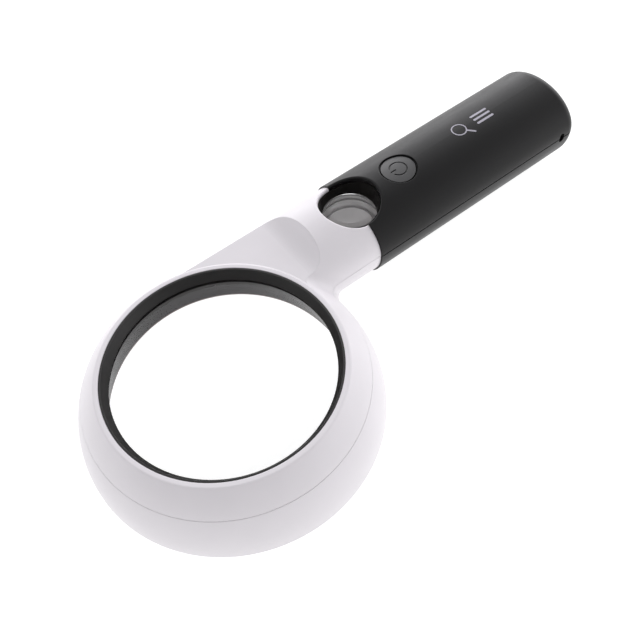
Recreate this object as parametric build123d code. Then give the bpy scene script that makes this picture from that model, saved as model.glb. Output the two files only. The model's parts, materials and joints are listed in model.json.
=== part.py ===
from build123d import *
import math
import os

# Low vision magnifier: a round lit head with a large lens, an offset handle with a small spot lens,
# a power button and three AAA cells. Millimetres. The origin is on the main lens axis in the plane
# that the head stands on. +X runs along the handle to its butt, +Z points up out of the lens.

# Head
RIM_R = 38.0  # outer edge of the black bezel, which is the bore of the white shell
RIM_Z = 27.0  # top of the head
PARTING_Z = 18.5  # plane where the upper and lower shells meet
PARTING_GAP = 0.12
DOME_ARC_R = 36.0  # the head's outer wall is one arc, turned about the lens axis
DOME_CENTRE_R = 14.5
DOME_CENTRE_Z = 1.2
HEAD_WALL = 2.0
BORE_WALL = 1.7
LIP_ROUND = 0.8
FOOT_ROUND = 0.9

# Handle and neck: half an ellipse over half a circle, with its axis beside the lens axis
HANDLE_Y = 24.6
HANDLE_HALF_WIDTH = 18.5
HANDLE_CROWN = 13.9
HANDLE_WALL = 2.0
HANDLE_END_X = 165.5
BUTT_ROUND = 4.0
GROOVE_DEPTH = 0.6
GROOVE_WIDTH = 0.5
BORDER_X = 69.2  # where the white neck ends and the black handle begins
BORDER_GAP = 0.1
NECK_START_X = 5.0
NECK_STEP = 0.6  # the neck is this much slimmer than the handle
NECK_WALL = 3.0
SPIGOT_LENGTH = 5.5
SPIGOT_INSET = HANDLE_WALL + 0.1
SCOOP_R = 9.5  # thumb scoop between the neck and the rim
SCOOP_X = 42.2
SCOOP_FLOOR_Z = RIM_Z - 0.35
SCOOP_ROOF = 2.2
CORNER_ROUND = 4.0  # inner corner between the neck and the head
HOLE_ROUND = 0.6

# Main lens stack
LENS_R = 36.8
LENS_EDGE_TOP_Z = 23.35
LENS_EDGE = 2.0
LENS_TOP_CURVE_R = 300.0
LENS_BOTTOM_CURVE_R = 110.0
LIP_INNER_R = 35.6
BEZEL_FIT = 0.06
RETAINER_INNER_R = 35.9
RETAINER_BOTTOM_Z = 7.5  # its tube also keeps the lamps' glare out of the lens

# Lamp ring
BOARD_INNER_R = 37.2
BOARD_OUTER_R = 43.3
BOARD_BOTTOM_Z = 17.0
BOARD_THICKNESS = 1.2
DIFFUSER_Z = 14.0
DIFFUSER_PLATE = 1.3
LED_COUNT = 12
LED_CIRCLE_R = 40.2
REFLECTOR_FOOT_R = 47.2
REFLECTOR_TOP_R = 42.2
REFLECTOR_WALL = 1.2

# Spot lens
SPOT_X = 69.8
SPOT_HOLE_R = 10.9
SPOT_LENS_R = 10.0
SPOT_LENS_TOP_Z = 24.2
SPOT_LENS_EDGE = 2.0
SPOT_CURVE_R = 32.0
SLEEVE_R = 10.8
SLEEVE_LIP_R = 9.6
SLEEVE_BOTTOM_Z = 4.6
SPOT_STEPS = 4
SPOT_STEP_HEIGHT = 3.9
SPOT_STEP_WIDTH = 0.45

# Power button and switch
BUTTON_X = 92.0
BUTTON_R = 6.2
BUTTON_BORE_R = 6.5
BUTTON_BEVEL_R = 6.9
BUTTON_BEVEL = 0.8
BUTTON_SINK = 0.45
BUTTON_FLANGE_R = 7.4
BUTTON_FLANGE_Z = 27.7
STEM_R = 1.6
ICON_R = 3.1
ICON_STROKE = 0.55
ICON_DEPTH = 0.3
SWITCH_BOARD_Z = 20.8
SWITCH_BOARD_LENGTH = 20.0
SWITCH_BOARD_HALF_WIDTH = 9.3
SWITCH_TOP_Z = 25.5
PLUNGER_R = 1.65
PLUNGER_BORE_R = 1.72
PLUNGER_TOP_Z = 26.3
BOARD_SCREW_R = 0.9
BOARD_SCREW_HEAD_R = 1.7
BOARD_SCREW_TIP_Z = 25.2
BOARD_BOSS_R = 2.0
BOARD_SCREW_DX = 7.7
BOARD_SCREW_DY = 7.2

# Battery compartment
CELL_R = 5.25
CELL_LENGTH = 44.5
CELL_NUB = 1.0
CELL_PITCH = 10.8
CELL_Z = 17.0
BAY_START_X = 103.8
BAY_END_X = 154.8
BAY_WALL = 1.4
PLATE = 0.4
DOOR_START_X = 104.0
DOOR_END_X = 155.0
DOOR_HALF_ANGLE = 56.0
DOOR_GAP = 0.35

# Screws and lanyard
SCREW_R = 1.1
SCREW_HEAD_R = 2.3
SCREW_SEAT_Z = 9.5
SCREW_TIP_Z = 22.5
BOSS_R = 3.0
SHELL_SCREWS = [(52.0, -9.0), (52.0, 9.0), (90.0, -12.8), (90.0, 12.8), (158.6, 0.0)]
LANYARD_X = 158.0
LANYARD_WIDTH = 2.4
LANYARD_HEIGHT = 3.8
WIRE_R = 0.6
SMALL = 0.05  # play between two pieces that touch
BEYOND = 60.0  # well clear of the object


def turned(*edges):
    """Ring or disc from a closed outline in radius and height."""
    return revolve(Plane.XZ * make_face(edges), Axis.Z)


def ring(*points):
    """Ring or disc from straight runs in radius and height."""
    return turned(Polyline(*points, close=True))


def upright(radius, x, dy, z_low, z_high):
    """Vertical cylinder placed from the handle's axis."""
    height = z_high - z_low
    bottom = (Align.CENTER, Align.CENTER, Align.MIN)
    return Pos(x, HANDLE_Y + dy, z_low) * Cylinder(radius, height, align=bottom)


def block(x_range, dy_range, z_range):
    """Box placed from the handle's axis, by its two corners."""
    size = [high - low for low, high in (x_range, dy_range, z_range)]
    corner = (Align.MIN, Align.MIN, Align.MIN)
    return Pos(x_range[0], HANDLE_Y + dy_range[0], z_range[0]) * Box(*size, align=corner)


def above(z):
    """Everything higher than z."""
    return Pos(60, 0, z) * Box(400, 300, 100, align=(Align.CENTER, Align.CENTER, Align.MIN))


def below(z):
    """Everything lower than z."""
    return Pos(60, 0, z) * Box(400, 300, 100, align=(Align.CENTER, Align.CENTER, Align.MAX))


def bar(inset, x_start, x_end, end_round=0.0):
    """Length of the handle section, drawn in by inset, with its far end rounded."""
    half = HANDLE_HALF_WIDTH - inset
    crown = HANDLE_CROWN - inset
    upper = Ellipse(half, crown) & Rectangle(2 * half, crown, align=(Align.CENTER, Align.MIN))
    lower = Circle(half) & Rectangle(2 * half, half, align=(Align.CENTER, Align.MAX))
    start = Plane(origin=(x_start, HANDLE_Y, PARTING_Z), x_dir=(0, 1, 0), z_dir=(1, 0, 0))
    solid = extrude(start * (upper + lower), amount=x_end - x_start)
    if end_round > 0:
        solid = fillet(solid.faces().sort_by(Axis.X)[-1].edges(), end_round)
    return solid


def dome_radius(z, inset):
    """Radius of the head's wall at a height."""
    return DOME_CENTRE_R + math.sqrt((DOME_ARC_R - inset) ** 2 - (z - DOME_CENTRE_Z) ** 2)


def dome(inset, z_low, z_high):
    """Head as a solid of revolution, drawn in by inset."""
    foot_r = DOME_CENTRE_R + DOME_ARC_R - inset
    shoulder = (dome_radius(z_high, inset), z_high)
    z_mid = (DOME_CENTRE_Z + z_high) / 2
    belly = (dome_radius(z_mid, inset), z_mid)
    flat = Polyline(shoulder, (0, z_high), (0, z_low), (foot_r, z_low), (foot_r, DOME_CENTRE_Z))
    return turned(*flat.edges(), ThreePointArc((foot_r, DOME_CENTRE_Z), belly, shoulder))


def scoop(grow):
    """Space over the thumb scoop: a flat floor that rises in an arc towards the handle."""
    floor_z = SCOOP_FLOOR_Z - grow
    radius = SCOOP_R + grow
    arc_mid = (SCOOP_X + radius * math.sin(math.pi / 4), floor_z + radius * (1 - math.cos(math.pi / 4)))
    arc_end = (SCOOP_X + radius, floor_z + radius)
    arc = ThreePointArc((SCOOP_X, floor_z), arc_mid, arc_end)
    rest = Polyline(arc_end, (arc_end[0], 60), (-80, 60), (-80, floor_z), (SCOOP_X, floor_z))
    return extrude(Plane.XZ * make_face([arc, *rest.edges()]), amount=120, both=True)


def nearest_edge(solid, x, y, z):
    """Edge whose middle is nearest to a point."""
    return min(solid.edges(), key=lambda edge: (edge @ 0.5 - Vector(x, y, z)).length)


def round_head():
    """Head with its foot and its lip rounded."""
    body = dome(0, 0, RIM_Z)
    body = fillet(body.edges().filter_by(GeomType.CIRCLE).sort_by(Axis.Z)[0], FOOT_ROUND)
    return fillet(body.edges().filter_by(GeomType.CIRCLE).sort_by(Axis.Z)[-1], LIP_ROUND)


def head_solid():
    """Outer shape of the white head and neck."""
    body = round_head() + (bar(NECK_STEP, NECK_START_X, BORDER_X) - scoop(0))
    near_side = HANDLE_Y - HANDLE_HALF_WIDTH
    corner = nearest_edge(body, dome_radius(7, 0), near_side + CORNER_ROUND, 7)
    body = fillet(corner, CORNER_ROUND)
    return body + bar(SPIGOT_INSET, BORDER_X - 1, BORDER_X + SPIGOT_LENGTH)


def soften_hole(shell):
    """Rounds the outer edge of the spot lens hole."""
    def on_rim(edge):
        middle = edge @ 0.5
        reach = math.hypot(middle.X - SPOT_X, middle.Y - HANDLE_Y)
        return abs(reach - SPOT_HOLE_R) < SMALL and edge.geom_type != GeomType.LINE

    rim = [edge for edge in shell.edges() if on_rim(edge)]
    top = max((edge @ 0.5).Z for edge in rim)
    return fillet([edge for edge in rim if (edge @ 0.5).Z > top - 1], HOLE_ROUND)


def neck_space():
    """Hollow of the neck, from the lamp ring to the handle."""
    hollow = bar(NECK_STEP + NECK_WALL, SCOOP_X - 12, BORDER_X + SPIGOT_LENGTH + 1)
    return hollow - scoop(SCOOP_ROOF)


def spot_hole():
    """Way through the neck and handle for the spot lens sleeve."""
    return upright(SPOT_HOLE_R, SPOT_X, 0, -5, BEYOND)


def lower_boss_cut(x, dy):
    """Clearance hole and head recess of a shell screw."""
    recess = upright(SCREW_HEAD_R + 0.2, x, dy, -5, SCREW_SEAT_Z)
    return recess + upright(SCREW_R + 0.2, x, dy, SCREW_SEAT_Z - 1, PARTING_Z + 1)


def upper_head_shell():
    """White top shell: rim, thumb scoop and upper half of the neck."""
    shell = head_solid() & above(PARTING_Z + PARTING_GAP / 2)
    ring_space = dome(HEAD_WALL, 0, RIM_Z - 3.0) + neck_space()
    bore_wall = ring((0, 0), (RIM_R + BORE_WALL, 0), (RIM_R + BORE_WALL, BEYOND), (0, BEYOND))
    shell -= ring_space - bore_wall
    shell -= ring((0, 0), (RIM_R, 0), (RIM_R, BEYOND), (0, BEYOND))
    for x, dy in SHELL_SCREWS[:2]:
        boss = upright(BOSS_R, x, dy, PARTING_Z + PARTING_GAP / 2, RIM_Z)
        shell += boss & bar(NECK_STEP + 1, BORDER_X - 30, BORDER_X)
        shell -= upright(SCREW_R + SMALL, x, dy, 0, SCREW_TIP_Z + 0.5)
    return soften_hole(shell - spot_hole())


def lower_head_shell():
    """White bottom shell: outer wall of the head and lower half of the neck."""
    shell = head_solid() & below(PARTING_Z - PARTING_GAP / 2)
    shell -= dome(HEAD_WALL, -1, RIM_Z - 3.0)
    shell -= neck_space()
    for x, dy in SHELL_SCREWS[:2]:
        boss = upright(BOSS_R, x, dy, DOME_CENTRE_Z, PARTING_Z - PARTING_GAP / 2)
        shell += boss & bar(NECK_STEP + 1, BORDER_X - 30, BORDER_X)
        shell -= lower_boss_cut(x, dy)
    return shell - spot_hole()


def groove():
    """Dark line round the handle where its two shells meet."""
    band = bar(-1, BORDER_X - 5, HANDLE_END_X + 5)
    band -= bar(GROOVE_DEPTH, BORDER_X - 6, HANDLE_END_X - GROOVE_DEPTH, BUTT_ROUND - GROOVE_DEPTH)
    return band & above(PARTING_Z - GROOVE_WIDTH / 2) & below(PARTING_Z + GROOVE_WIDTH / 2)


def lanyard_slot():
    """Slots for a wrist strap, through both side walls at the parting plane."""
    slot = SlotOverall(LANYARD_HEIGHT, LANYARD_WIDTH, rotation=90)
    across = Plane(origin=(LANYARD_X, HANDLE_Y, PARTING_Z), x_dir=(1, 0, 0), z_dir=(0, -1, 0))
    both_sides = extrude(across * slot, amount=30, both=True)
    return both_sides - block((LANYARD_X - 5, LANYARD_X + 5), (-10, 10), (0, 60))


def handle_wall():
    """Hollow handle, before it is split."""
    outer = bar(0, BORDER_X + BORDER_GAP, HANDLE_END_X, BUTT_ROUND)
    inner = bar(HANDLE_WALL, BORDER_X - 1, HANDLE_END_X - HANDLE_WALL, BUTT_ROUND - HANDLE_WALL)
    return outer - inner


def upper_handle_shell():
    """Black top shell with the openings of the button and the spot lens."""
    shell = handle_wall() & above(PARTING_Z + SMALL)
    limit = bar(HANDLE_WALL / 2, BORDER_X + 1, HANDLE_END_X - 3)
    for x, dy in SHELL_SCREWS[2:]:
        shell += upright(BOSS_R - 0.4, x, dy, PARTING_Z + SMALL, BEYOND) & limit
        shell -= upright(SCREW_R + SMALL, x, dy, 0, SCREW_TIP_Z + 0.5)
    for x, dy in board_screw_places():
        shell += upright(BOARD_BOSS_R, x, dy, SWITCH_BOARD_Z + BOARD_THICKNESS, BEYOND) & limit
        shell -= upright(BOARD_SCREW_R + SMALL, x, dy, 0, BOARD_SCREW_TIP_Z + 0.4)
    shell -= upright(BUTTON_BORE_R, BUTTON_X, 0, PARTING_Z, BEYOND)
    bevel = upright(BUTTON_BEVEL_R, BUTTON_X, 0, PARTING_Z, BEYOND)
    shell -= bevel - bar(BUTTON_BEVEL, BORDER_X, HANDLE_END_X)
    return soften_hole(shell - spot_hole()) - groove() - lanyard_slot()


def door_wedge(drop, x_start, x_end):
    """Sector under the handle's axis that the battery door fills."""
    half = math.radians(DOOR_HALF_ANGLE)
    left = (-BEYOND * math.sin(half), -BEYOND * math.cos(half) - drop)
    right = (-left[0], left[1])
    start = Plane(origin=(x_start, HANDLE_Y, PARTING_Z), x_dir=(0, 1, 0), z_dir=(1, 0, 0))
    return extrude(start * make_face(Polyline((0, -drop), left, right, close=True)), amount=x_end - x_start)


def lower_handle_shell():
    """Black bottom shell with the battery opening."""
    shell = handle_wall() & below(PARTING_Z - SMALL)
    limit = bar(HANDLE_WALL / 2, BORDER_X + 1, HANDLE_END_X - 3)
    for x, dy in SHELL_SCREWS[2:]:
        shell += upright(BOSS_R, x, dy, 0, PARTING_Z - SMALL) & limit
        shell -= lower_boss_cut(x, dy)
    shell -= door_wedge(0, DOOR_START_X, DOOR_END_X)
    return shell - spot_hole() - groove() - lanyard_slot()


def battery_door():
    """Curved door with two hook tabs and a ribbed thumb grip."""
    wall = bar(0, DOOR_START_X - 5, DOOR_END_X + 5) - bar(HANDLE_WALL, DOOR_START_X - 6, DOOR_END_X + 6)
    door = wall & door_wedge(DOOR_GAP, DOOR_START_X + DOOR_GAP, DOOR_END_X - DOOR_GAP)
    for dy in (-6.0, 6.0):
        tab = block((DOOR_START_X - 3.0, DOOR_START_X + 4.0), (dy - 2, dy + 2), (4.2, 5.6))
        foot = block((DOOR_START_X + 1.0, DOOR_START_X + 4.0), (dy - 2, dy + 2), (2.2, 5.6))
        door += (tab + foot) & bar(HANDLE_WALL / 2, DOOR_START_X - 6, DOOR_END_X)
    for rib in range(5):
        x = DOOR_END_X - 5 - 2.2 * rib
        cutter = block((x, x + 1.0), (-7, 7), (-2, 10)) - bar(0.5, x - 1, x + 2)
        door -= cutter
    return door


def bezel():
    """Black ring: a flared lip over the lens and a skirt round it."""
    outer = RIM_R - BEZEL_FIT
    inner = LENS_R + BEZEL_FIT
    return ring(
        (LIP_INNER_R, LENS_EDGE_TOP_Z + 0.3),
        (outer - 0.6, RIM_Z - 0.1),
        (outer, RIM_Z - 0.1),
        (outer, PARTING_Z + 0.4),
        (inner, PARTING_Z + 0.4),
        (inner, LENS_EDGE_TOP_Z + SMALL),
        (LIP_INNER_R, LENS_EDGE_TOP_Z + 0.26),
    )


def lens(radius, top_z, edge, top_curve, bottom_curve):
    """Biconvex lens on the Z axis, given by its edge and its two curvatures."""
    def sag(curve):
        return curve - math.sqrt(curve**2 - radius**2)

    apex = (0, top_z + sag(top_curve))
    base = (0, top_z - edge - sag(bottom_curve))
    over = RadiusArc(apex, (radius, top_z), top_curve)
    under = RadiusArc((radius, top_z - edge), base, bottom_curve)
    return turned(over, Line((radius, top_z), (radius, top_z - edge)), under, Line(base, apex))


def main_lens():
    """Clear main lens."""
    return lens(LENS_R, LENS_EDGE_TOP_Z, LENS_EDGE, LENS_TOP_CURVE_R, LENS_BOTTOM_CURVE_R)


def lens_retainer():
    """Black ring that holds the lens from below."""
    outer = LENS_R - SMALL
    top = LENS_EDGE_TOP_Z - LENS_EDGE - SMALL
    return ring(
        (RETAINER_INNER_R, top - 0.95),
        (outer, top),
        (outer, RETAINER_BOTTOM_Z),
        (RETAINER_INNER_R, RETAINER_BOTTOM_Z),
    )


def led_ring_board():
    """Ring-shaped circuit board."""
    top = BOARD_BOTTOM_Z + BOARD_THICKNESS
    low, high = (BOARD_INNER_R, BOARD_BOTTOM_Z), (BOARD_OUTER_R, top)
    return ring(low, (high[0], low[1]), high, (low[0], high[1]))


def head_leds():
    """White surface-mount lamps under the ring board."""
    lamps = []
    for index in range(LED_COUNT):
        lamp = Pos(LED_CIRCLE_R, 0, BOARD_BOTTOM_Z - 0.55) * Box(2.8, 3.5, 1.1)
        lamps.append(Rot(0, 0, 360 / LED_COUNT * (index + 0.5)) * lamp)
    return Compound(lamps)


def light_diffuser():
    """Frosted trough under the lamps."""
    outer = BOARD_OUTER_R
    plate_top = DIFFUSER_Z + DIFFUSER_PLATE
    return ring(
        (BOARD_INNER_R, DIFFUSER_Z),
        (outer, DIFFUSER_Z),
        (outer, BOARD_BOTTOM_Z),
        (outer - 0.9, BOARD_BOTTOM_Z),
        (outer - 0.9, plate_top),
        (BOARD_INNER_R + 0.9, plate_top),
        (BOARD_INNER_R + 0.9, BOARD_BOTTOM_Z),
        (BOARD_INNER_R, BOARD_BOTTOM_Z),
    )


def reflector_ring():
    """White funnel that spreads the light down on to the page."""
    pocket = BOARD_OUTER_R + 0.2
    foot = REFLECTOR_FOOT_R + REFLECTOR_WALL
    return ring(
        (REFLECTOR_FOOT_R, 0.4),
        (foot, 0.4),
        (foot, 1.4),
        (REFLECTOR_TOP_R + REFLECTOR_WALL + 0.6, DIFFUSER_Z - 1.4),
        (pocket + 0.8, DIFFUSER_Z - 1.0),
        (pocket + 0.8, BOARD_BOTTOM_Z),
        (pocket, BOARD_BOTTOM_Z),
        (pocket, DIFFUSER_Z),
        (REFLECTOR_TOP_R, DIFFUSER_Z),
    )


def spot_place():
    """Axis of the spot lens."""
    return Pos(SPOT_X, HANDLE_Y, 0)


def spot_lens():
    """Small strong lens in the neck."""
    glass = lens(SPOT_LENS_R, SPOT_LENS_TOP_Z, SPOT_LENS_EDGE, SPOT_CURVE_R, SPOT_CURVE_R)
    return spot_place() * glass


def spot_lens_sleeve():
    """Black tube that carries the spot lens through both shells."""
    seat = SPOT_LENS_TOP_Z + 0.25
    top = PARTING_Z + HANDLE_CROWN - HANDLE_WALL
    tube = spot_place() * ring(
        (SPOT_LENS_R + 0.1, SLEEVE_BOTTOM_Z),
        (SLEEVE_R, SLEEVE_BOTTOM_Z),
        (SLEEVE_R, top),
        (SLEEVE_R - 0.1, top),
        (SLEEVE_LIP_R, seat + 0.4),
        (SLEEVE_LIP_R, seat),
        (SPOT_LENS_R + 0.1, seat),
    )
    return tube & bar(HANDLE_WALL, BORDER_X - 30, BORDER_X + 30)


def spot_lens_retainer():
    """Stepped ring under the spot lens."""
    outer = SPOT_LENS_R + SMALL
    lens_drop = SPOT_CURVE_R - math.sqrt(SPOT_CURVE_R**2 - SPOT_LENS_R**2)
    z = SPOT_LENS_TOP_Z - SPOT_LENS_EDGE - SMALL
    radius = SPOT_LENS_R - 0.5
    outline = [(outer, SLEEVE_BOTTOM_Z), (outer, z), (radius, z - lens_drop / 4)]
    for _ in range(SPOT_STEPS):
        z -= SPOT_STEP_HEIGHT
        outline += [(radius, z), (radius - SPOT_STEP_WIDTH, z)]
        radius -= SPOT_STEP_WIDTH
    outline.append((radius, SLEEVE_BOTTOM_Z))
    return spot_place() * ring(*outline)


def power_icon():
    """Broken ring with a bar, the bar pointing at the lens."""
    broken = Circle(ICON_R + ICON_STROKE / 2) - Circle(ICON_R - ICON_STROKE / 2)
    broken -= Pos(-ICON_R, 0) * Rectangle(2 * ICON_R, 2.6)
    stroke = Pos(-0.72 * ICON_R, 0) * Rectangle(0.8 * ICON_R, ICON_STROKE)
    return broken + stroke


def power_button():
    """Round cap with its flange, stem and sunk power sign."""
    cap = upright(BUTTON_R, BUTTON_X, 0, BUTTON_FLANGE_Z, BEYOND) & bar(BUTTON_SINK, BORDER_X, HANDLE_END_X)
    flange = upright(BUTTON_FLANGE_R, BUTTON_X, 0, BUTTON_FLANGE_Z, BUTTON_FLANGE_Z + 1)
    stem = upright(STEM_R, BUTTON_X, 0, PLUNGER_TOP_Z + 0.02, BUTTON_FLANGE_Z + 0.5)
    icon = extrude(Pos(BUTTON_X, HANDLE_Y, BUTTON_FLANGE_Z + 1) * power_icon(), amount=20)
    icon -= bar(BUTTON_SINK + ICON_DEPTH, BORDER_X, HANDLE_END_X)
    return cap + flange + stem - icon


def board_screw_places():
    """Four corners of the switch board."""
    return [(BUTTON_X + sx * BOARD_SCREW_DX, sy * BOARD_SCREW_DY) for sx in (-1, 1) for sy in (-1, 1)]


def switch_board():
    """Small circuit board under the button."""
    half = SWITCH_BOARD_LENGTH / 2
    span = (BUTTON_X - half, BUTTON_X + half)
    width = (-SWITCH_BOARD_HALF_WIDTH, SWITCH_BOARD_HALF_WIDTH)
    board = block(span, width, (SWITCH_BOARD_Z, SWITCH_BOARD_Z + BOARD_THICKNESS))
    for x, dy in board_screw_places():
        board -= upright(BOARD_SCREW_R + 0.2, x, dy, 0, BEYOND)
    return board


def board_screws():
    """Screws that hold the switch board to the upper shell."""
    screws = []
    for x, dy in board_screw_places():
        head = upright(BOARD_SCREW_HEAD_R, x, dy, SWITCH_BOARD_Z - 1.2, SWITCH_BOARD_Z)
        slot = block((x - 2, x + 2), (dy - 0.2, dy + 0.2), (SWITCH_BOARD_Z - 1.3, SWITCH_BOARD_Z - 0.7))
        shank = upright(BOARD_SCREW_R, x, dy, SWITCH_BOARD_Z - 0.1, BOARD_SCREW_TIP_Z)
        screws.append(head - slot + shank)
    return Compound(screws)


def switch_body():
    """Body of the push switch."""
    base = SWITCH_BOARD_Z + BOARD_THICKNESS
    case = block((BUTTON_X - 3.1, BUTTON_X + 3.1), (-3.1, 3.1), (base, SWITCH_TOP_Z))
    return case - upright(PLUNGER_BORE_R, BUTTON_X, 0, base + 1.2, BEYOND)


def switch_plunger():
    """Plunger of the push switch, carried by the button's stem."""
    return upright(PLUNGER_R, BUTTON_X, 0, 24.2, PLUNGER_TOP_Z)


def switch_resistors():
    """Chip resistors under the switch board."""
    chips = []
    for dy in (-4.5, 0.0, 4.5):
        low = (SWITCH_BOARD_Z - 0.6, SWITCH_BOARD_Z)
        chips.append(block((BUTTON_X - 1.6, BUTTON_X + 1.6), (dy - 0.8, dy + 0.8), low))
    return Compound(chips)


def cell_rows():
    """Offset of each cell from the handle's axis, and the way its positive end points."""
    return [(-CELL_PITCH, 1), (0.0, -1), (CELL_PITCH, 1)]


def facing(sign):
    """Keeps or turns round a piece drawn about the middle of the battery bay."""
    turn = Rot(0, 0, 0) if sign > 0 else Rot(0, 0, 180)
    return Pos((BAY_START_X + BAY_END_X) / 2, HANDLE_Y, CELL_Z) * turn


def bay_half():
    """Distance from the middle of the bay to the face of a contact plate."""
    return (BAY_END_X - BAY_START_X) / 2 - BAY_WALL - PLATE


def aaa_cell(dy, sign):
    """One AAA cell with its positive nub."""
    end = bay_half()
    can_end = end - CELL_NUB
    can_start = end - CELL_LENGTH
    along = Rot(0, 90, 0)
    can = Pos((can_start + can_end) / 2, 0, 0) * along * Cylinder(CELL_R, can_end - can_start)
    nub = Pos(can_end + CELL_NUB / 2 - 0.25, 0, 0) * along * Cylinder(1.9, CELL_NUB + 0.5)
    cell = fillet(can.edges().filter_by(GeomType.CIRCLE), 0.5) + nub
    return facing(sign) * Pos(0, dy * sign, 0) * cell


def battery_springs():
    """Conical spring at the negative end of each cell."""
    springs = []
    wire = 0.3
    for dy, sign in cell_rows():
        height = 2 * bay_half() - CELL_LENGTH - 2 * wire - 0.1
        path = Helix(pitch=height / 3, height=height, radius=3.2, cone_angle=-15)
        start = Plane(origin=path @ 0, z_dir=path % 0)
        coil = sweep(start * Circle(wire), path=path)
        lying = Pos(-bay_half() + wire + SMALL, 0, 0) * Rot(0, 90, 0) * coil
        springs.append(facing(sign) * Pos(0, dy * sign, 0) * lying)
    return Compound(springs)


def contact_plates():
    """Nickel plates on the end walls of the cradle, linking the cells in series."""
    near = BAY_START_X + BAY_WALL
    far = BAY_END_X - BAY_WALL - PLATE
    half = 3.6
    reach = CELL_PITCH + half
    height = (CELL_Z - 3.6, CELL_Z + 3.6)
    return Compound([
        block((near, near + PLATE), (-reach, -CELL_PITCH + half), height),
        block((near, near + PLATE), (-half, reach), height),
        block((far, far + PLATE), (-reach, half), height),
        block((far, far + PLATE), (CELL_PITCH - half, reach), height),
    ])


def battery_cradle():
    """Tray over the cells, with two end walls and two ribs between the cells."""
    top = CELL_Z + CELL_R + 0.35
    tray = block((BAY_START_X, BAY_END_X), (-16, 16), (top, top + 1.2))
    for x in (BAY_START_X, BAY_END_X - BAY_WALL):
        tray += block((x, x + BAY_WALL), (-16, 16), (CELL_Z - 5.5, top + 1.2))
    for dy in (-CELL_PITCH / 2, CELL_PITCH / 2):
        tray += block((BAY_START_X, BAY_END_X), (dy - 0.5, dy + 0.5), (top - 1.8, top + 0.5))
    return tray & bar(HANDLE_WALL + 0.15, BAY_START_X - 1, BAY_END_X + 1)


def shell_screws():
    """Five identical screws that hold the shells together."""
    screws = []
    for x, dy in SHELL_SCREWS:
        head = upright(SCREW_HEAD_R, x, dy, SCREW_SEAT_Z - 1.8, SCREW_SEAT_Z)
        for turn in (0, 90):
            cross = Rot(0, 0, turn) * Box(2.6, 0.7, 2)
            head -= Pos(x, HANDLE_Y + dy, SCREW_SEAT_Z - 1.8) * cross
        screws.append(head + upright(SCREW_R, x, dy, SCREW_SEAT_Z - 0.5, SCREW_TIP_Z))
    return Compound(screws)


def wire(*places):
    """Insulated lead along straight runs with round bends, placed from the handle's axis."""
    points = [Vector(x, HANDLE_Y + dy, z) for x, dy, z in places]
    radii = []
    for before, here, after in zip(points, points[1:], points[2:]):
        turn = math.radians((here - before).get_angle(after - here))
        run = min((here - before).length, (after - here).length)
        radii.append(0.45 * run / math.tan(turn / 2))
    path = FilletPolyline(*points, radius=radii) if radii else Line(*points)
    start = Plane(origin=points[0], z_dir=points[1] - points[0])
    return sweep(start * Circle(WIRE_R), path=path)


def lamp_wire_positive():
    """Lead from the switch board to the lamp ring, on the near side."""
    return wire(
        (87, -3.5, 20.1), (82.3, -5, 19.9), (79.5, -10.5, 19.2), (74, -13.3, 18.4), (57, -13.6, 17.9),
        (48, -13.5, 18.3), (41, -13, 18.95),
    )


def lamp_wire_negative():
    """Lead from the switch board to the lamp ring, on the far side."""
    return wire(
        (87, 3.5, 20.1), (82.3, 5, 19.9), (79.5, 10.5, 19.2), (74, 13.3, 18.4), (57, 13.6, 17.9),
        (46, 13.3, 18.3), (34.5, 2, 18.95),
    )


def battery_wire_negative():
    """Short lead from the first cell's spring plate to the switch board."""
    return wire((103.1, -10.8, 16.8), (101.2, -9.5, 17.0), (98.5, -5.0, 18.4), (95.3, -3.0, 20.1))


def battery_wire_positive():
    """Lead from the last cell's positive plate, back over the cradle to the switch board."""
    return wire(
        (155.6, 10.8, 18.5), (157.2, 10.8, 22), (156, 10.4, 25.6), (148, 9.6, 25.9), (130, 8.4, 25.5),
        (110, 6.5, 25.4), (101, 2.5, 24.2), (96.5, 1.0, 22.7),
    )


def build_nodes():
    """Every piece by its name."""
    nodes = {
        "upper_head_shell": upper_head_shell(),
        "lower_head_shell": lower_head_shell(),
        "lens_bezel": bezel(),
        "main_lens": main_lens(),
        "lens_retainer": lens_retainer(),
        "led_ring_board": led_ring_board(),
        "head_leds": head_leds(),
        "light_diffuser": light_diffuser(),
        "reflector_ring": reflector_ring(),
        "spot_lens": spot_lens(),
        "spot_lens_sleeve": spot_lens_sleeve(),
        "spot_lens_retainer": spot_lens_retainer(),
        "upper_handle_shell": upper_handle_shell(),
        "lower_handle_shell": lower_handle_shell(),
        "battery_door": battery_door(),
        "power_button": power_button(),
        "switch_plunger": switch_plunger(),
        "switch_body": switch_body(),
        "switch_board": switch_board(),
        "switch_resistors": switch_resistors(),
        "board_screws": board_screws(),
        "battery_cradle": battery_cradle(),
        "battery_springs": battery_springs(),
        "contact_plates": contact_plates(),
        "shell_screws": shell_screws(),
        "lamp_wire_positive": lamp_wire_positive(),
        "lamp_wire_negative": lamp_wire_negative(),
        "battery_wire_positive": battery_wire_positive(),
        "battery_wire_negative": battery_wire_negative(),
    }
    for index, (dy, sign) in enumerate(cell_rows(), start=1):
        nodes[f"aaa_cell_{index}"] = aaa_cell(dy, sign)
    return nodes


os.makedirs("parts", exist_ok=True)
for name, piece in build_nodes().items():
    export_step(piece, f"parts/{name}.step")
    print(name, round(piece.volume, 1))
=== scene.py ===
"""Low vision magnifier: looks, light and camera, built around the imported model. Metres throughout."""

import json
import math

import bmesh
import bpy
from mathutils import Matrix, Vector


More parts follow.
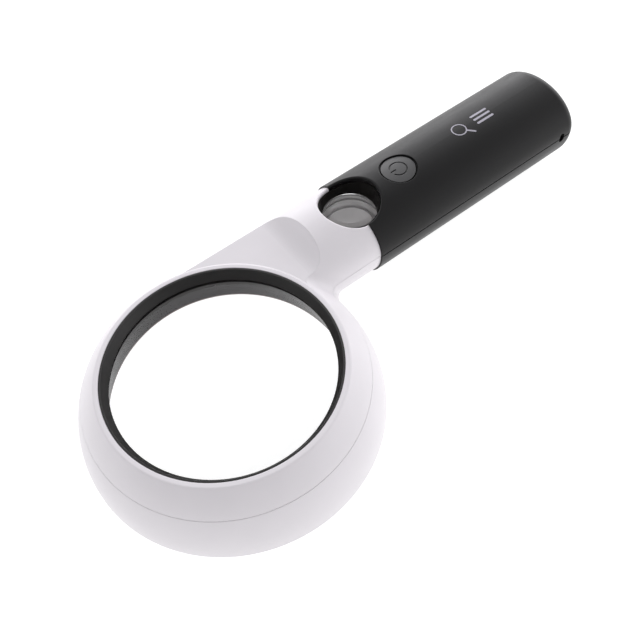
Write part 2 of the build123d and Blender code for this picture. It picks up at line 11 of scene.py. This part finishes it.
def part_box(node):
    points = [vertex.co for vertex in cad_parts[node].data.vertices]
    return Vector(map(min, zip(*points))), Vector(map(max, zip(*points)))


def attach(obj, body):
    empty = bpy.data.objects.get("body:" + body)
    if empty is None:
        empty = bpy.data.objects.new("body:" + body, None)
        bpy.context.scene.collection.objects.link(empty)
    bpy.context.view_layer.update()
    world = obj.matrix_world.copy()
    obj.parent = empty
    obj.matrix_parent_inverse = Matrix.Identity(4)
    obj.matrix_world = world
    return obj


MM = 0.001

# Camera: where it aims on the floor, how far away it is, and its angles.
AIM = (0.0433, 0.0097, 0.0)
DISTANCE = 0.2767
LOOK_AZIMUTH = 57.9
LOOK_DOWN = 55.5
ROLL = -6.54
LENS_MM = 43.59

# Studio: a glowing white table under a dome, with broad soft sources low behind, right and left.
FLOOR_SIZE = 8.0
FLOOR_COLOUR = (0.36, 0.36, 0.36)
FLOOR_GLOW = 0.93
DOME_LIGHT = 0.48
DOME_TINT = (0.985, 0.98, 1.0)
SOFT_SOURCES = [  # azimuth from the camera's own heading, strength, how narrow
    (-5, 2.8, 2.5),
    (-90, 1.2, 4.0),
    (90, 0.8, 4.0),
]

# Finishes, as linear colours.
WHITE_PLASTIC = (0.81, 0.781, 0.811)
BLACK_PLASTIC = (0.0065, 0.0063, 0.0066)
BLACK_SATIN = (0.0125, 0.0115, 0.0110)
BARREL_BLACK = (0.0095, 0.0080, 0.0072)
BARREL_EDGE_COLOUR = (0.34, 0.28, 0.27)
BARREL_EDGE = 0.9 * MM
SLEEVE_BLACK = (0.006, 0.005, 0.0045)
LENS_COAT = (0.14, 0.13, 0.15, 1.0)
BUTTON_GREY = (0.060, 0.060, 0.061)
INK = (0.52, 0.50, 0.58)

# What all moulded plastic shares.
CLOUD_SIZE = 14 * MM
STREAK_SIZE = 2.5 * MM
ROUGHNESS_SPREAD = 0.03
EDGE_POLISH = 0.06
WORN_REACH = 1.6  # how far wear reaches, in edge radii
WORN_TINT = 3.0

ACRYLIC_IOR = 1.49
SIGN_INK_AND_SHADE = (0.972, 0.984)  # share of the button's crown at which the sign's floor ends and its top starts; below it the cap is painted black, as ink and painted shade in the sign and as painted shade down the cap's sides

# Circuit board and cell wrap.
TRACK_PITCH = 2.6 * MM
CELL_BAND = 11.0 * MM
CELL_NIB = 1.45 * MM
CELL_FOOT = 0.5 * MM
CELL_FADE = 0.1 * MM

# Pad-printed signs on the handle.
SIGN_FROM_BUTTON = 21.5 * MM
SIGN_LENS_R = 2.7 * MM
SIGN_GRIP = 3.0 * MM
SIGN_LINE = 0.45 * MM
SIGN_BAR = 7.0 * MM
SIGN_BAR_PITCH = 2.0 * MM
PRINT_LIFT = 0.02 * MM

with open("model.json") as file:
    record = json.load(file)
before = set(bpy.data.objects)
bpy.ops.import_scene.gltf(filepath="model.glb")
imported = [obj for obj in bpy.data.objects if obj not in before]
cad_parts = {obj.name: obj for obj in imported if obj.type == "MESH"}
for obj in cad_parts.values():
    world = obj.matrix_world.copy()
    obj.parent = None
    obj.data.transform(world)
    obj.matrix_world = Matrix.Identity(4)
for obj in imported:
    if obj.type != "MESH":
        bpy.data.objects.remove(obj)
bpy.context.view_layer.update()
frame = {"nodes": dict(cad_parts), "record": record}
SLOTS = {part["node"]: part["material_slot"] for part in frame["record"]["subparts"]}


class Finish:
    """A procedural material: a Principled shader fed by noise in the object's own coordinates."""

    def __init__(self, name, **constants):
        self.material = bpy.data.materials.new(name)
        self.material.use_nodes = True
        self.tree = self.material.node_tree
        self.shader = self.tree.nodes["Principled BSDF"]
        self.place = self.node("ShaderNodeTexCoord").outputs["Object"]
        for socket, value in constants.items():
            self.shader.inputs[socket.replace("_", " ")].default_value = value

    def node(self, kind, **settings):
        made = self.tree.nodes.new(kind)
        for setting, value in settings.items():
            setattr(made, setting, value)
        return made

    def put(self, socket, value):
        """Links an output to a socket, or sets the socket to a constant."""
        if isinstance(value, bpy.types.NodeSocket):
            self.tree.links.new(value, socket)
        else:
            socket.default_value = value

    def feed(self, socket, value):
        self.put(self.shader.inputs[socket], value)

    def base_colour(self):
        """What feeds the base colour so far."""
        return self.shader.inputs["Base Color"].links[0].from_socket

    def noise(self, size, detail=3.0, stretch=(1, 1, 1)):
        """Noise whose features are about size metres across, from 0 to 1."""
        mapping = self.node("ShaderNodeMapping")
        self.put(mapping.inputs["Vector"], self.place)
        mapping.inputs["Scale"].default_value = stretch
        noise = self.node("ShaderNodeTexNoise")
        self.put(noise.inputs["Vector"], mapping.outputs["Vector"])
        noise.inputs["Scale"].default_value = 1 / size
        noise.inputs["Detail"].default_value = detail
        return noise.outputs["Fac"]

    def remap(self, value, low, high, start=0.3, end=0.7):
        """Value from start to end becomes low to high."""
        node = self.node("ShaderNodeMapRange")
        for socket, given in zip(node.inputs, (value, start, end, low, high)):
            self.put(socket, given)
        return node.outputs["Result"]

    def math(self, operation, a, b=0.0):
        node = self.node("ShaderNodeMath", operation=operation)
        self.put(node.inputs[0], a)
        self.put(node.inputs[1], b)
        return node.outputs["Value"]

    def blend(self, factor, first, second):
        """Colour between two colours."""
        node = self.node("ShaderNodeMix", data_type="RGBA")
        for socket, given in zip((node.inputs[0], node.inputs[6], node.inputs[7]), (factor, first, second)):
            if isinstance(given, tuple):
                given = (*given[:3], 1.0)
            self.put(socket, given)
        return node.outputs[2]

    def along(self, axis):
        """One coordinate of the object."""
        split = self.node("ShaderNodeSeparateXYZ")
        self.put(split.inputs[0], self.place)
        return split.outputs[axis]

    def soft_edges(self, radius):
        """Normal that rounds the edges by radius."""
        bevel = self.node("ShaderNodeBevel", samples=6)
        bevel.inputs["Radius"].default_value = radius
        return bevel.outputs["Normal"]

    def edge_mask(self, radius):
        """1 on the edges, where wear shows, and 0 elsewhere."""
        dot = self.node("ShaderNodeVectorMath", operation="DOT_PRODUCT")
        self.put(dot.inputs[0], self.soft_edges(radius))
        self.put(dot.inputs[1], self.node("ShaderNodeNewGeometry").outputs["Normal"])
        return self.remap(dot.outputs["Value"], 1.0, 0.0, 0.80, 0.985)

    def bump(self, height, depth, normal=None):
        """Feeds the shader a normal that follows height, of the given depth."""
        node = self.node("ShaderNodeBump")
        node.inputs["Strength"].default_value = 1.0
        node.inputs["Distance"].default_value = depth
        self.put(node.inputs["Height"], height)
        if normal is not None:
            self.put(node.inputs["Normal"], normal)
        self.feed("Normal", node.outputs["Normal"])


def tint(colour, factor):
    return tuple(channel * factor for channel in colour)


def moulded(name, colour, rough, grain, depth, edge=0.3 * MM, wear=0.0, clouding=0.035, **constants):
    """Moulded plastic: clouded colour, grain in the surface, softened and slightly polished edges."""
    finish = Finish(name, **constants)
    cloud = finish.remap(finish.noise(CLOUD_SIZE, 4.0), 0.0, 1.0)
    worn = finish.edge_mask(edge * WORN_REACH)
    base = finish.blend(cloud, tint(colour, 1 - clouding), tint(colour, 1 + clouding))
    if wear > 0:
        base = finish.blend(finish.math("MULTIPLY", worn, wear), base, tint(colour, WORN_TINT))
    finish.feed("Base Color", base)
    streaks = finish.noise(STREAK_SIZE, 3.0, stretch=(0.25, 1, 1))
    matt = finish.remap(streaks, rough - ROUGHNESS_SPREAD, rough + ROUGHNESS_SPREAD)
    polish = finish.math("MULTIPLY", worn, EDGE_POLISH)
    finish.feed("Roughness", finish.math("SUBTRACT", matt, polish))
    finish.bump(finish.noise(grain, 2.0), depth, finish.soft_edges(edge))
    return finish


def white_plastic():
    """Glossy white shell plastic."""
    return moulded("white_plastic", WHITE_PLASTIC, 0.36, 0.35 * MM, 0.004 * MM, edge=0.35 * MM,
                   clouding=0.012, IOR=1.46).material


def black_plastic():
    """Black ABS with a fine matt texture."""
    return moulded("black_plastic", BLACK_PLASTIC, 0.37, 0.22 * MM, 0.010 * MM, wear=0.35,
                   Specular_IOR_Level=0.26).material


def black_satin():
    """Smooth black of the bezel."""
    return moulded("black_satin", BLACK_SATIN, 0.36, 0.40 * MM, 0.004 * MM, edge=0.15 * MM, wear=0.4).material


def matt_black(name, colour):
    """Black that is blasted matt inside a tube, to stop glare."""
    return moulded(name, colour, 0.62, 0.30 * MM, 0.012 * MM, edge=0.1 * MM, Specular_IOR_Level=0.22).material


def barrel_black():
    """Smooth black wall under the main lens, with a pale lower edge."""
    finish = moulded("barrel_black", BARREL_BLACK, 0.30, 0.40 * MM, 0.003 * MM, edge=0.1 * MM,
                     Specular_IOR_Level=0.10)
    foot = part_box("lens_retainer")[0][2]
    pale = finish.remap(finish.along("Z"), 1.0, 0.0, foot + BARREL_EDGE / 2, foot + BARREL_EDGE)
    finish.feed("Base Color", finish.blend(pale, finish.base_colour(), BARREL_EDGE_COLOUR))
    return finish.material


def crown_ellipse(finish, node, sink):
    """1 on the handle's curved top drawn in by sink, and less under it."""
    low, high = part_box(node)
    centre_y = (low[1] + high[1]) / 2
    half = (high[1] - low[1]) / 2 - sink
    crown = high[2] - low[2] - sink
    across = finish.math("DIVIDE", finish.math("SUBTRACT", finish.along("Y"), centre_y), half)
    upward = finish.math("DIVIDE", finish.math("SUBTRACT", finish.along("Z"), low[2]), crown)
    squares = [finish.math("MULTIPLY", value, value) for value in (across, upward)]
    return finish.math("ADD", *squares)


def button_plastic():
    """Grey-black cap whose sunk sign is filled with black ink and painted shade, and whose sides under the
    crown carry the same painted shade.
    """
    finish = moulded("button_plastic", BUTTON_GREY, 0.42, 0.20 * MM, 0.008 * MM, edge=0.2 * MM, wear=0.3)
    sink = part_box("upper_handle_shell")[1][2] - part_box("power_button")[1][2]
    depth = crown_ellipse(finish, "upper_handle_shell", sink)
    top = finish.remap(depth, 0.0, 1.0, *SIGN_INK_AND_SHADE)
    # Painted shade: black on the sign's floor, together with its ink, and down the cap's sides below the
    # crown.
    finish.feed("Base Color", finish.blend(top, BLACK_SATIN, finish.base_colour()))
    return finish.material


def clear_plastic():
    """Polished acrylic with a thin coat against glare, and the faintest film on it."""
    finish = Finish("clear_acrylic", IOR=ACRYLIC_IOR, Transmission_Weight=1.0, Specular_Tint=LENS_COAT)
    film = finish.noise(6 * MM, 4.0)
    finish.feed("Base Color", finish.blend(film, (0.985, 0.99, 0.99), (1.0, 1.0, 1.0)))
    finish.feed("Roughness", finish.remap(film, 0.0, 0.012, 0.45, 0.75))
    finish.bump(finish.noise(9 * MM, 1.0), 0.0008 * MM)
    return finish.material


def frosted_plastic():
    """Milky plastic that spreads the lamps' light."""
    return moulded("frosted", (0.90, 0.90, 0.88), 0.55, 0.30 * MM, 0.012 * MM, edge=0.15 * MM,
                   Transmission_Weight=0.35, IOR=1.58).material


def step_plastic():
    """Grey plastic of the steps under the spot lens."""
    return moulded("step_plastic", (0.60, 0.585, 0.585), 0.36, 0.3 * MM, 0.004 * MM, edge=0.1 * MM).material


def board(name, mask, copper):
    """Circuit board: solder mask with the tracks just showing under it."""
    finish = Finish(name, Roughness=0.38, Coat_Weight=0.35, Coat_Roughness=0.2)
    cells = finish.node("ShaderNodeTexVoronoi", feature="DISTANCE_TO_EDGE")
    finish.put(cells.inputs["Vector"], finish.place)
    cells.inputs["Scale"].default_value = 1 / TRACK_PITCH
    track = finish.remap(cells.outputs["Distance"], 1.0, 0.0, 0.05, 0.08)
    weave = finish.noise(0.5 * MM, 2.0)
    mask_colour = finish.blend(finish.remap(weave, 0.0, 1.0), mask, tint(mask, 0.88))
    finish.feed("Base Color", finish.blend(track, mask_colour, copper))
    finish.bump(track, 0.02 * MM)
    return finish.material


def lamp_package():
    """White lamp with a yellow phosphor patch."""
    finish = Finish("lamp_package", Roughness=0.3)
    patch = finish.noise(1.4 * MM, 2.0)
    share = finish.remap(patch, 0.0, 1.0)
    finish.feed("Base Color", finish.blend(share, (0.92, 0.90, 0.82), (0.90, 0.78, 0.30)))
    finish.bump(patch, 0.02 * MM)
    return finish.material


def metal(name, colour, rough, stretch):
    """Plated metal with fine drawn lines and dull patches."""
    finish = Finish(name, Metallic=1.0)
    lines = finish.noise(0.15 * MM, 2.0, stretch=stretch)
    dull = finish.noise(3 * MM, 4.0)
    finish.feed("Base Color", finish.blend(finish.remap(dull, 0.0, 1.0), tint(colour, 0.86), colour))
    finish.feed("Roughness", finish.remap(lines, rough - 0.08, rough + 0.08))
    finish.bump(lines, 0.003 * MM)
    return finish.material


def chip_ceramic():
    """Dark chip with tinned ends."""
    finish = moulded("chip_ceramic", (0.02, 0.02, 0.022), 0.35, 0.2 * MM, 0.005 * MM,
                     edge=0.06 * MM, wear=0.8)
    low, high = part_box("switch_resistors")
    from_middle = finish.math("ABSOLUTE", finish.math("SUBTRACT", finish.along("X"), (low[0] + high[0]) / 2))
    ends = finish.remap(from_middle, 0.0, 1.0, 1.05 * MM, 1.15 * MM)
    finish.feed("Base Color", finish.blend(ends, finish.base_colour(), (0.62, 0.62, 0.60)))
    finish.feed("Metallic", ends)
    return finish.material


def cell_wrap(node):
    """Film wrap of one cell: pale grey body, a blue band at its positive end and bare steel ends."""
    finish = Finish("cell_wrap_" + node[-1], Roughness=0.28, Coat_Weight=0.4, Coat_Roughness=0.12)
    low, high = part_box(node)
    length = high[0] - low[0]
    distance = finish.math("SUBTRACT", finish.along("X"), low[0])
    if node != "aaa_cell_2":  # the middle cell lies the other way round
        distance = finish.math("SUBTRACT", length, distance)
    band = finish.remap(distance, 1.0, 0.0, CELL_BAND, CELL_BAND + 2 * CELL_FADE)
    grain = finish.remap(finish.noise(1.5 * MM, 3.0, stretch=(0.2, 1, 1)), 0.0, 1.0)
    body = finish.blend(grain, (0.34, 0.36, 0.38), (0.40, 0.42, 0.44))
    wrap = finish.blend(band, body, (0.030, 0.110, 0.230))
    positive = finish.remap(distance, 1.0, 0.0, CELL_NIB, CELL_NIB + CELL_FADE)
    negative = finish.remap(distance, 0.0, 1.0, length - CELL_FOOT, length - CELL_FOOT + CELL_FADE)
    steel = finish.math("MAXIMUM", positive, negative)
    finish.feed("Base Color", finish.blend(steel, wrap, (0.66, 0.66, 0.65)))
    finish.feed("Metallic", finish.math("MAXIMUM", steel, finish.math("MULTIPLY", band, 0.5)))
    finish.bump(finish.noise(4 * MM, 3.0), 0.02 * MM)
    return finish.material


def wire_sleeve(name, colour):
    return moulded(name, colour, 0.34, 0.5 * MM, 0.006 * MM, edge=0.05 * MM, Coat_Weight=0.3).material


def print_ink():
    """Pad-printed ink, thin and slightly broken up by the texture under it."""
    finish = Finish("print_ink", Roughness=0.55)
    cover = finish.noise(0.18 * MM, 3.0)
    finish.feed("Base Color", finish.blend(finish.remap(cover, 0.0, 1.0), tint(INK, 0.80), INK))
    finish.bump(cover, 0.006 * MM)
    return finish.material


def dress_nodes():
    """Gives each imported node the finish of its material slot, or one of its own."""
    by_slot = {
        "white_shell": white_plastic(),
        "black_shell": black_plastic(),
        "black_trim": black_satin(),
        "button_plastic": button_plastic(),
        "clear_lens": clear_plastic(),
        "frosted": frosted_plastic(),
        "step_ring": step_plastic(),
        "circuit_board": board("white_board", (0.80, 0.81, 0.80), (0.72, 0.74, 0.72)),
        "green_board": board("green_board", (0.012, 0.13, 0.045), (0.03, 0.20, 0.07)),
        "led_white": lamp_package(),
        "switch_case": moulded("switch_case", (0.03, 0.03, 0.03), 0.4, 0.3 * MM, 0.005 * MM).material,
        "resistor_chip": chip_ceramic(),
        "nickel": metal("nickel", (0.70, 0.68, 0.63), 0.24, (1, 0.1, 1)),
        "zinc_screw": metal("zinc", (0.62, 0.63, 0.65), 0.32, (1, 1, 0.1)),
        "wire_red": wire_sleeve("wire_red", (0.50, 0.02, 0.02)),
        "wire_black": wire_sleeve("wire_black", (0.015, 0.015, 0.015)),
    }
    by_node = {
        "lens_retainer": barrel_black(),
        "spot_lens_sleeve": matt_black("sleeve_black", SLEEVE_BLACK),
        **{name: cell_wrap(name) for name, slot in SLOTS.items() if slot == "cell_wrap"},
    }
    for name, node in frame["nodes"].items():
        finish = by_node.get(name) or by_slot[SLOTS[name]]
        node.data.materials.clear()
        node.data.materials.append(finish)


def printed(name, strips, ink):
    """Thin print on the handle's curved top, from strips of point pairs measured from its middle line."""
    low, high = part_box("upper_handle_shell")
    middle, half, crown = (low[1] + high[1]) / 2, (high[1] - low[1]) / 2, high[2] - low[2]
    mesh = bmesh.new()
    for strip in strips:
        rows = []
        for pair in strip:
            heights = [low[2] + crown * math.sqrt(1 - (dy / half) ** 2) + PRINT_LIFT for _, dy in pair]
            rows.append([mesh.verts.new((x, middle + dy, z)) for (x, dy), z in zip(pair, heights)])
        for (a, b), (c, d) in zip(rows, rows[1:]):
            mesh.faces.new((a, b, d, c))
    bmesh.ops.remove_doubles(mesh, verts=mesh.verts, dist=0.001 * MM)
    for face in mesh.faces:
        if face.normal.z < 0:
            face.normal_flip()
    data = bpy.data.meshes.new(name)
    mesh.to_mesh(data)
    mesh.free()
    piece = bpy.data.objects.new(name, data)
    bpy.context.scene.collection.objects.link(piece)
    data.materials.append(ink)
    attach(piece, "body")


def ring_strip(x, y, radius, width, steps=48):
    """Ring as one strip."""
    strip = []
    for step in range(steps + 1):
        angle = 2 * math.pi * step / steps
        strip.append([(x + r * math.cos(angle), y + r * math.sin(angle))
                      for r in (radius - width / 2, radius + width / 2)])
    return strip


def bar_strip(x0, y0, x1, y1, width, steps=8):
    """Straight bar with round ends as one strip."""
    length = math.hypot(x1 - x0, y1 - y0)
    ux, uy = (x1 - x0) / length, (y1 - y0) / length
    half = width / 2
    quarter = [math.pi / 2 * step / steps for step in range(steps + 1)]
    stations = [(-half * math.cos(a), math.sin(a)) for a in quarter]
    stations += [(length * step / steps, 1.0) for step in range(1, steps)]
    stations += [(length + half * math.sin(a), math.cos(a)) for a in quarter]
    strip = []
    for along, share in stations:
        cx, cy, reach = x0 + ux * along, y0 + uy * along, half * max(share, 0.02)
        strip.append([(cx - uy * reach, cy + ux * reach), (cx + uy * reach, cy - ux * reach)])
    return strip


def printed_marks():
    """Plain pictograms where the handle is printed: a lens, and three bars for its three cells."""
    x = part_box("power_button")[1][0] + SIGN_FROM_BUTTON
    ink = print_ink()
    start = (SIGN_LENS_R + SIGN_LINE / 2) * math.cos(math.pi / 4)
    end = start + SIGN_GRIP * math.cos(math.pi / 4)
    grip = bar_strip(x + start, -start, x + end, -end, 1.5 * SIGN_LINE)
    printed("printed_lens_sign", [ring_strip(x, 0.0, SIGN_LENS_R, SIGN_LINE), grip], ink)
    first = x + SIGN_LENS_R + SIGN_GRIP + SIGN_BAR_PITCH
    bars = [bar_strip(first, dy, first + SIGN_BAR, dy, 2 * SIGN_LINE)
            for dy in (-SIGN_BAR_PITCH, 0.0, SIGN_BAR_PITCH)]
    printed("printed_cell_sign", bars, ink)


def camera():
    """Camera at the height, side and tilt that show the whole object from above its head."""
    data = bpy.data.cameras.new("camera")
    data.lens = LENS_MM
    data.clip_start = 0.01
    holder = bpy.data.objects.new("camera", data)
    bpy.context.scene.collection.objects.link(holder)
    azimuth, down, roll = (math.radians(v) for v in (LOOK_AZIMUTH, LOOK_DOWN, ROLL))
    forward = (math.cos(down) * math.cos(azimuth), math.cos(down) * math.sin(azimuth), -math.sin(down))
    holder.location = [aim - DISTANCE * part for aim, part in zip(AIM, forward)]
    look = Vector(forward).to_track_quat("-Z", "Y")
    holder.rotation_euler = (look.to_matrix() @ Matrix.Rotation(roll, 3, "Z")).to_euler()
    bpy.context.scene.camera = holder


def studio():
    """White floor that glows, and a dome of light with soft sources on its horizon."""
    bpy.ops.mesh.primitive_grid_add(x_subdivisions=8, y_subdivisions=8, size=FLOOR_SIZE)
    floor = bpy.context.object
    floor.name = "floor"
    paper = Finish("floor_paper", Roughness=0.9, Emission_Strength=FLOOR_GLOW, Specular_IOR_Level=0.1)
    fibre = paper.remap(paper.noise(0.8 * MM, 3.0), 0.0, 1.0)
    paper.feed("Base Color", paper.blend(fibre, tint(FLOOR_COLOUR, 0.995), FLOOR_COLOUR))
    paper.feed("Emission Color", (1.0, 1.0, 1.0, 1.0))
    floor.data.materials.append(paper.material)

    world = bpy.data.worlds.new("dome")
    bpy.context.scene.world = world
    world.use_nodes = True
    nodes, links = world.node_tree.nodes, world.node_tree.links
    direction = nodes.new("ShaderNodeTexCoord").outputs["Generated"]
    total = DOME_LIGHT
    for azimuth, strength, narrow in SOFT_SOURCES:
        heading = math.radians(LOOK_AZIMUTH + azimuth)
        total = add_source(nodes, links, direction, total, heading, strength, narrow)
    nodes["Background"].inputs["Color"].default_value = (*DOME_TINT, 1.0)
    links.new(total, nodes["Background"].inputs["Strength"])


def add_source(nodes, links, direction, total, azimuth, strength, narrow):
    """Adds a soft source on the horizon, strength * cosine ** narrow, to the light so far."""
    facing = nodes.new("ShaderNodeVectorMath")
    facing.operation = "DOT_PRODUCT"
    facing.inputs[1].default_value = (math.cos(azimuth), math.sin(azimuth), 0.0)
    links.new(direction, facing.inputs[0])
    value = facing.outputs["Value"]
    for operation, other in (("MAXIMUM", 0.0), ("POWER", narrow), ("MULTIPLY", strength), ("ADD", total)):
        step = nodes.new("ShaderNodeMath")
        step.operation = operation
        links.new(value, step.inputs[0])
        if isinstance(other, bpy.types.NodeSocket):
            links.new(other, step.inputs[1])
        else:
            step.inputs[1].default_value = other
        value = step.outputs["Value"]
    return value


camera()
studio()
dress_nodes()
printed_marks()
bpy.context.scene.view_settings.view_transform = "Standard"
